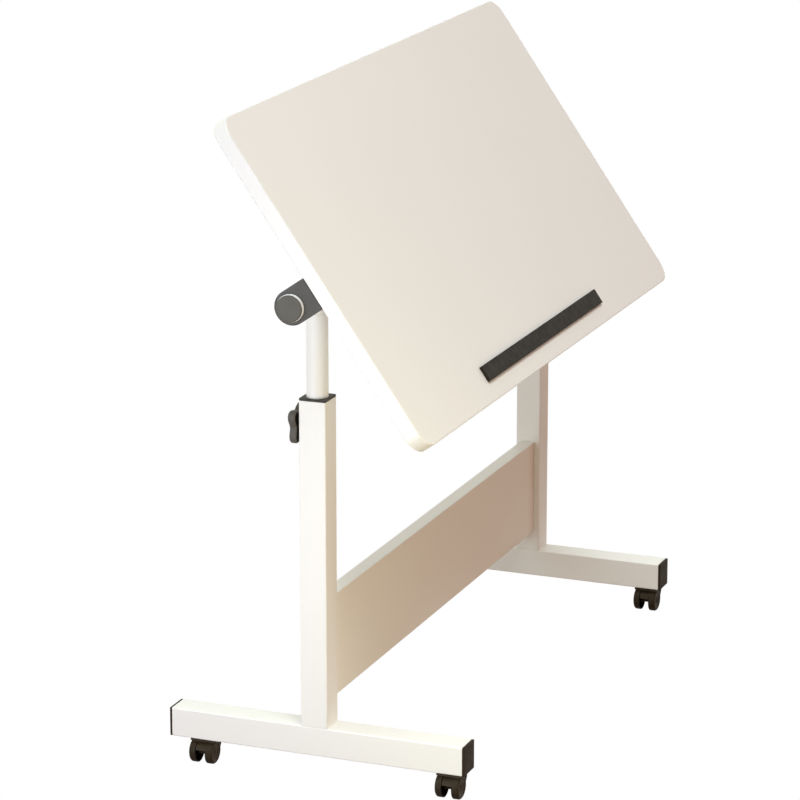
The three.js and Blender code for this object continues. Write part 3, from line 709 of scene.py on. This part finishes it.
def ledge_bar():
    """Flat bar with crisp edges."""
    section = rounded_rectangle(LEDGE_DEPTH, LEDGE_THICKNESS, 0.5, 3)
    half, bevel = LEDGE_LENGTH / 2, 0.35
    ends = ((-half, bevel), (-half + bevel, 0), (half - bevel, 0), (half, bevel))
    return skin([[(x, y, z + LEDGE_THICKNESS / 2) for y, z in offset(section, d)] for x, d in ends])


ledge_y = BOARD_SHIFT - BOARD_DEPTH / 2 + LEDGE_INSET + LEDGE_DEPTH / 2
ledge_place = TILT @ Matrix.Translation((LEDGE_X, ledge_y, BOARD_FACE + GAP))
# The ledge's darker coat is painted shade.
make("ledge_bar", moved(ledge_bar(), ledge_place), LEDGE_METAL_SHADED, "board", "dark_steel", ["ledge"])


# ---- tilt brackets ---------------------------------------------------------------------------------
def d_outline():
    """The cheek seen from outside: a half circle about the axis and a straight edge under the board.
    Built in the board's Y, Z plane as x, y."""
    points = []
    corner = 1.2
    for cx, start in ((BRACKET_RADIUS - corner, 0.0), (-BRACKET_RADIUS + corner, math.pi / 2)):
        points += arc(corner, start, math.pi / 2, 4, cx, FLANGE_TOP - corner)
        if start == 0.0:
            points += [(cx - 2 * cx * i / 10, FLANGE_TOP) for i in range(1, 10)]
    points += [(-BRACKET_RADIUS, (FLANGE_TOP - corner) * (1 - i / 9)) for i in range(1, 9)]
    points += arc(BRACKET_RADIUS, math.pi, math.pi, 40)
    points += [(BRACKET_RADIUS, (FLANGE_TOP - corner) * i / 9) for i in range(1, 9)]
    return points


def bracket():
    """Cheek with its bore, the flange that is screwed to the board, and the fillet between them."""
    inner, half = CHEEK - BRACKET_OUTER, BRACKET_RADIUS
    to_side = Matrix(((0, 0, -1, inner), (1, 0, 0, 0), (0, 1, 0, 0), (0, 0, 0, 1)))
    outline = d_outline()
    cheek = moved(ring(outline, projected(outline, JOURNAL_RADIUS + GAP), 0, CHEEK, 0.8, 0.4, 3), to_side)
    under, corner, size = FLANGE_TOP - FLANGE, 6.0, 5.0
    turning = inner + FLANGE_REACH - corner
    flange_outline = [(inner - 1, -half), (turning, -half)]
    flange_outline += arc(corner, -math.pi / 2, math.pi / 2, 6, turning, corner - half)[1:]
    flange_outline += arc(corner, 0, math.pi / 2, 6, turning, half - corner)
    flange_outline.append((inner - 1, half))
    flange = prism(flange_outline, under, FLANGE_TOP, 0.6, 3)
    fillet_section = [(inner - 0.5, under + 0.5), (inner - 0.5, under - size)]
    fillet_section += arc(size, math.pi, -math.pi / 2, 8, inner + size, under - size)
    fillet_section.append((inner + size, under + 0.5))
    fillet = skin([[(x, y, z) for x, z in fillet_section] for y in (0.8 - half, half - 0.8)])
    return moved(joined(cheek, flange, fillet), TILT)


def hexagon(radius):
    """Points along a hexagon's sides, as many as the screw's circles have."""
    corners = circle(radius, 6)
    per_side = SCREW_POINTS // 6
    points = []
    for i in range(6):
        a, b = corners[i], corners[(i + 1) % 6]
        points += [(a[0] + (b[0] - a[0]) * k / per_side, a[1] + (b[1] - a[1]) * k / per_side)
                   for k in range(per_side)]
    return points


def button_screw():
    """Socket-head screw, its head towards -Z and its seat at z = 0."""
    outside = ((0.4, 19), (2.2, 17), (2.2, 0.2), (4.4, 0.0), (4.6, -0.2), (4.6, -1.2), (4.35, -1.9),
               (3.8, -2.5), (3.0, -2.9), (2.3, -3.0))
    socket = ((1.75, -3.0), (1.6, -2.85), (1.55, -1.3), (0.6, -1.0))
    loops = [at(circle(radius, SCREW_POINTS), z) for radius, z in outside]
    return skin(loops + [at(hexagon(radius), z) for radius, z in socket])


# The bracket's lighter coat is painted light.
pair("bracket", bracket(), DARK_METAL_LIT, "board", "dark_steel", ["tilt_bracket_{}"])
for end, y in (("front", -SCREW_Y), ("rear", SCREW_Y)):
    screw_place = TILT @ Matrix.Translation((SCREW_X, y, FLANGE_TOP - FLANGE - GAP))
    pair(f"screw_{end}", moved(button_screw(), screw_place), STEEL, "board", "steel",
         ["bracket_screw_" + end + "_{}"])

# ---- tilt clamp knobs ------------------------------------------------------------------------------
groove, stud = HUB_RADIUS - 0.5, 4.0
hub_profile = [(0.0, HUB_DEPTH), (HUB_RADIUS, HUB_DEPTH), (HUB_RADIUS, 3.9), (groove, 3.6), (groove, 2.9),
               (HUB_RADIUS, 2.6), (HUB_RADIUS, 0.0), (stud, 0.0), (stud, -25.4), (3.2, -26.0), (0.0, -26.0)]
hub_place = axis_matrix("-x", -BRACKET_OUTER - GAP, 0, PIVOT_Z)
pair("clamp_hub", moved(lathe(eased(hub_profile, 0.5, 4), 96), hub_place), SATIN_SILVER, "tilt_clamp_{}",
     "satin_silver", ["tilt_hub_{}"])
disc_profile = [(0.0, 4.0), (10.0, 3.95), (19.6, 3.75), (DISC_RADIUS, 2.4), (DISC_RADIUS, 0.0), (0.0, 0.0)]
disc_place = axis_matrix("-x", -BRACKET_OUTER - HUB_DEPTH - 2 * GAP, 0, PIVOT_Z)
# The disc's lighter coat is painted light.
pair("clamp_disc", moved(lathe(eased(disc_profile, 0.9, 5), 96), disc_place), DISC_METAL_LIT, "tilt_clamp_{}",
     "dark_plastic", ["tilt_disc_{}"])


# ---- casters ---------------------------------------------------------------------------------------
def hood_outline(inset):
    """The cover over the wheels in their plane, origin on the axle: open towards -X, flat on top,
    square-shouldered towards the stem. The outer side is pulled in by inset."""
    top, side, corner, reach = HOOD_TOP - inset, 22.0 - inset, 2.2, math.pi / 2 + 0.48
    outer = [(20.4, -2.0), (20.8, -1.5), (21.2 - inset, 1.6), (21.6 - inset, 5.0), (side, 9.0),
             (side, 14.0)]
    outer += arc(corner, 0, math.pi / 2, 8, side - corner, top - corner)
    outer += [(12 - 19.6 * i / 10, top) for i in range(11)]
    outer += [(-8.6 + 0.3 * inset, top - 0.5), (-9.2 + 0.3 * inset, top - 1.5)]
    return outer + arc(WHEEL_RADIUS + 0.5, reach, -reach, 30)


def nose_outline(inset):
    """The middle of the caster between the wheels: a rounded nose towards -X and the block round the
    axle."""
    radius, low, high = 18.6 - inset, 0.3, 1.22
    bottom, top, block = NOSE_BOTTOM - 0.5 + 0.5 * inset, HOOD_TOP - 0.6, 5.0 - inset
    outer = arc(radius, math.pi - high, high - low, 16)
    outer += [(0.5 - radius * math.cos(low), NOSE_BOTTOM - 0.4), (-14.5, bottom), (-6.0, bottom)]
    outer += [(-block, NOSE_BOTTOM - 1.5), (-block, -block), (block, -block)]
    return outer + [(18.0 - inset, 2.0), (20.0 - inset, top), (-6.0, top)]


def across(outline_at, half, rim):
    """A solid across Y from an outline in the XZ plane; rim lists (distance from the side, inset)."""
    stations = [(-half + d, inset) for d, inset in rim] + [(half - d, inset) for d, inset in reversed(rim)]
    return skin([[(x, y, z) for x, z in outline_at(inset)] for y, inset in stations])


def narrowed(point):
    """Draws the hood's flanks in towards its lower end, where it meets the wheels."""
    x, y, z = point
    flank, lowest, rise = 16.0, -2.0, 16.0
    beyond = max(0.0, abs(y) - flank)
    keep = 0.3 + 0.7 * min(1.0, max(0.0, (z - lowest) / rise)) ** 0.7
    return x, math.copysign(min(abs(y), flank) + beyond * keep, y), z


def caster_body():
    """Hood, nose with a raised rib down each side, axle and stem; the origin is on the axle."""
    hood_rim = ((0.0, 0.9), (0.2, 0.5), (0.6, 0.2), (1.3, 0.0), (4.6, 0.0), (12.0, 0.0))
    points, faces = across(hood_outline, 20.6, hood_rim)
    hood = [narrowed(p) for p in points], faces
    nose_rim = ((0.0, 0.5), (0.15, 0.2), (0.5, 0.0), (1.3, 0.0), (1.6, 0.25), (1.9, 0.55), (5.0, 0.6))
    nose = across(nose_outline, 8.1, nose_rim)
    side = AXLE_HALF - 0.1
    axle_profile = [(0.0, -AXLE_HALF), (AXLE_RADIUS, -side), (AXLE_RADIUS, side), (0.0, AXLE_HALF)]
    axle = moved(lathe(eased(axle_profile, 0.5, 3), 24), axis_matrix("y"))
    stem_profile = [(0.0, 18.0), (STEM_RADIUS, 18.0), (STEM_RADIUS, 24.0), (STEM_RADIUS, 37.1),
                    (STEM_RADIUS - 1.0, 38.4), (0.0, 38.4)]
    stem = moved(lathe(eased(stem_profile, 0.6, 3), 32), Matrix.Translation((CASTER_TRAIL, 0, 0)))
    return joined(hood, nose, axle, stem)


def caster_wheel(sign):
    """Wheel along Y: tread rounded towards the dished outer face, crisp and hollow on the inside. sign
    is -1 for the wheel on the -Y side."""
    half, edge = WHEEL_WIDTH / 2, 0.6
    face = [(WHEEL_BORE, half - 1.0), (6.4, half - 1.0), (6.9, half - 0.3), (7.7, half - 0.3),
            (8.3, half - 0.9), (13.0, half - 0.9), (13.8, half - 0.2), (14.6, half)]
    tread = [(WHEEL_RADIUS - 4.6 + 4.6 * math.sin(a), half - 4.0 * (1 - math.cos(a)))
             for a in (math.pi / 2 * i / 10 for i in range(1, 11))]
    rim = arc(edge, 0, -math.pi / 2, 4, WHEEL_RADIUS - edge, edge - half)
    hollow = [(18.5, -half), (18.2, 0.3 - half), (17.6, 1.0), (16.8, 1.8), (8.0, 2.0), (7.0, 1.4),
              (6.4, 0.4 - half), (6.0, -half), (WHEEL_BORE, -half)]
    wheel = lathe(face + tread + rim + hollow, 72, closed=True)
    return moved(wheel, axis_matrix("y" if sign > 0 else "-y"))


def hub_cap(sign):
    cap = lathe(eased([(0.0, 4.8), (3.1, 4.8), (3.1, 5.7), (2.4, 5.95), (0.0, 6.0)], 0.3, 2), 24)
    return moved(cap, axis_matrix("y" if sign > 0 else "-y"))


def hood_paint(axle):
    """Chooses 1, the near-black painted shade, for the faces of the hood that look at the axle."""
    def choose(centre, normal):
        out = Vector((centre.x - axle.x, 0, centre.z - axle.z))
        return int(out.length < 21 and normal.dot(out.normalized()) < -0.3)

    return choose


def wheel_paint(middle, sign):
    """Chooses 0 for the tread, 1 for the outer face and 2 for the hollow inner side and the tread's inner
    rim. Choice 2 is near-black painted shade.
    """
    def choose(centre, normal):
        radius = math.hypot(centre.x - middle.x, centre.z - middle.z)
        outwards = (centre.y - middle.y) * sign
        if radius > 18.9:
            return 0 if outwards > -5.5 else 2
        return 1 if outwards > 2.6 else 2

    return choose


bore, rim, low, seat, high = STEM_RADIUS + GAP, 13.0, 42.7, 43.9, 59.9
socket_profile = eased([(bore, low), (12.4, low), (rim, 43.1), (rim, seat), (9.0, seat), (9.0, high),
                        (bore, high)], 0.4, 2)
socket = lathe(socket_profile + [(bore, high), (bore, low)], 48, closed=True)

for end, y in ENDS:
    for side, sign in SIDES:
        x = -sign * COLUMN_X
        place = f"{end}_{side}"
        body = f"caster_{place}"
        axle_place = Matrix.Translation((x - CASTER_TRAIL, y, WHEEL_RADIUS))
        # The sockets' near-black plating is painted shadow in the gap between the foot and the caster.
        make(f"socket_{place}", moved(socket, Matrix.Translation((x, y, 0))), BLACK_STEEL_SHADOW, "base", "steel",
             [f"caster_socket_{place}"])
        # Inside the hood, round the axle, the near-black is painted shade.
        make(f"caster_hood_{place}", moved(caster_body(), axle_place), CASTER_PLASTIC, body, "dark_plastic",
             [f"caster_body_{place}"], others=[SHADE_BLACK_PLASTIC], choose=hood_paint(axle_place.translation))
        for wheel, wheel_sign in (("a", -1), ("b", 1)):
            wheel_place = axle_place @ Matrix.Translation((0, wheel_sign * WHEEL_OFFSET, 0))
            shape = moved(joined(caster_wheel(wheel_sign), hub_cap(wheel_sign)), wheel_place)
            # The near-black on the wheels' inner sides is painted shade between the wheels.
            paint = wheel_paint(wheel_place.translation, wheel_sign)
            make(f"wheel_{wheel}_{place}", shape, TREAD, f"{body}_wheel_{wheel}", "tread",
                 [f"caster_wheel_{wheel}_{place}"], others=[CASTER_PLASTIC, SHADE_BLACK_PLASTIC], choose=paint)

# ---- CAD nodes that stay: hidden fixings and bushes ------------------------------------------------
for side, _ in SIDES:
    for node, material in ((f"dowel_low_{side}", STEEL), (f"dowel_high_{side}", STEEL),
                           (f"star_stud_{side}", STEEL), (f"post_bush_{side}", DARK_PLASTIC)):
        slots = frame["nodes"][node].data.materials
        slots.clear()
        slots.append(material)

# ---- floor, light and camera -----------------------------------------------------------------------
# Only the camera sees the floor, which is plain white from above and clear from below.
FLOOR_HALF = 40.0
floor_corners = [(FLOOR_HALF * x, FLOOR_HALF * y, 0) for x, y in ((-1, -1), (1, -1), (1, 1), (-1, 1))]
floor_mesh = bpy.data.meshes.new("floor")
floor_mesh.from_pydata(floor_corners, [], [(0, 1, 2, 3)])
floor = bpy.data.objects.new("floor", floor_mesh)
bpy.context.scene.collection.objects.link(floor)
floor.visible_diffuse = False
floor.visible_glossy = False
floor.visible_shadow = False
floor_paint = bpy.data.materials.new("pale_floor")
floor_paint.use_nodes = True
tree = floor_paint.node_tree
tree.nodes.clear()
glow = tree.nodes.new("ShaderNodeEmission")
glow.inputs["Color"].default_value = (1, 1, 1, 1)
glow.inputs["Strength"].default_value = 1.0
clear = tree.nodes.new("ShaderNodeBsdfTransparent")
below = tree.nodes.new("ShaderNodeNewGeometry")
choose = tree.nodes.new("ShaderNodeMixShader")
output = tree.nodes.new("ShaderNodeOutputMaterial")
tree.links.new(below.outputs["Backfacing"], choose.inputs[0])
tree.links.new(glow.outputs[0], choose.inputs[1])
tree.links.new(clear.outputs[0], choose.inputs[2])
tree.links.new(choose.outputs[0], output.inputs["Surface"])
floor_mesh.materials.append(floor_paint)

# The room's soft fill: light of each colour comes from its direction and fades with the angle to it.
ROOM = (
    ((0, 0, 1), (0.05, 0.07, 0.04)),
    ((0, 0, -1), (0.08, 0.04, 0.02)),
    ((1, 0, 0), (0.78, 0.85, 0.79)),
    ((0, -1, 0), (0.28, 0.07, 0.02)),
    ((0, 1, 0), (0.84, 0.75, 0.66)),
)
world = bpy.data.worlds.new("studio")
bpy.context.scene.world = world
world.use_nodes = True
tree = world.node_tree
tree.nodes.clear()
sky = tree.nodes.new("ShaderNodeTexCoord").outputs["Generated"]
fill = None
for axis, color in ROOM:
    facing = tree.nodes.new("ShaderNodeVectorMath")
    facing.operation = "DOT_PRODUCT"
    facing.inputs[1].default_value = axis
    tree.links.new(sky, facing.inputs[0])
    only_front = tree.nodes.new("ShaderNodeMath")
    only_front.operation = "MAXIMUM"
    only_front.inputs[1].default_value = 0.0
    tree.links.new(facing.outputs["Value"], only_front.inputs[0])
    add = tree.nodes.new("ShaderNodeVectorMath")
    add.operation = "MULTIPLY_ADD"
    add.inputs[0].default_value = color
    tree.links.new(only_front.outputs[0], add.inputs[1])
    if fill is None:
        add.inputs[2].default_value = (0, 0, 0)
    else:
        tree.links.new(fill, add.inputs[2])
    fill = add.outputs[0]
ambient = tree.nodes.new("ShaderNodeBackground")
ambient.inputs["Strength"].default_value = 1.0
tree.links.new(fill, ambient.inputs["Color"])
# The camera sees a plain white background instead, and only the other rays meet the fill.
backdrop = tree.nodes.new("ShaderNodeBackground")
backdrop.inputs["Color"].default_value = (1, 1, 1, 1)
rays = tree.nodes.new("ShaderNodeLightPath")
choose = tree.nodes.new("ShaderNodeMixShader")
output = tree.nodes.new("ShaderNodeOutputWorld")
tree.links.new(rays.outputs["Is Camera Ray"], choose.inputs[0])
tree.links.new(ambient.outputs[0], choose.inputs[1])
tree.links.new(backdrop.outputs[0], choose.inputs[2])
tree.links.new(choose.outputs[0], output.inputs["Surface"])

LIT_MIDDLE = Vector((0, 0, 0.55))


def softbox(name, direction, distance, size, power, color):
    """A square area light that faces the middle of the table from the given direction."""
    light = bpy.data.lights.new(name, "AREA")
    light.shape = "SQUARE"
    light.size = size
    light.energy = power
    light.color = color
    obj = bpy.data.objects.new(name, light)
    towards = Vector(direction).normalized()
    obj.location = LIT_MIDDLE + towards * distance
    obj.rotation_euler = (-towards).to_track_quat("-Z", "Y").to_euler()
    obj.visible_camera = False
    bpy.context.scene.collection.objects.link(obj)


softbox("window", (-1.0, 0.15, 0.0), 1.8, 1.0, 12.7, (0.79, 0.835, 0.99))
softbox("low_front", (-0.85, -0.50, -0.10), 1.3, 0.6, 3.0, (0.97, 0.98, 0.58))
softbox("ceiling", (-0.30, -0.30, 0.90), 8.0, 4.0, 470.0, (0.92, 0.985, 1.0))
softbox("behind_left", (-0.75, 0.50, 0.45), 8.0, 4.8, 40.0, (0.60, 1.0, 0.75))

AZIMUTH, ELEVATION, DISTANCE = math.radians(-68.366), math.radians(15.459), 6.389536
TARGET = Vector((0.0, 0.060057, 0.491866))
SENSOR_MM, LENS_MM = 36.0, 170.01
level = math.cos(ELEVATION)
back = Vector((math.sin(AZIMUTH) * level, -math.cos(AZIMUTH) * level, math.sin(ELEVATION)))
camera_data = bpy.data.cameras.new("camera")
camera_data.sensor_width = SENSOR_MM
camera_data.lens = LENS_MM
camera_data.clip_end = 200.0
camera = bpy.data.objects.new("camera", camera_data)
camera.location = TARGET + back * DISTANCE
camera.rotation_mode = "QUATERNION"
camera.rotation_quaternion = (-back).to_track_quat("-Z", "Y")
bpy.context.scene.collection.objects.link(camera)
bpy.context.scene.camera = camera

view = bpy.context.scene.view_settings
view.view_transform = "Standard"
view.look = "None"
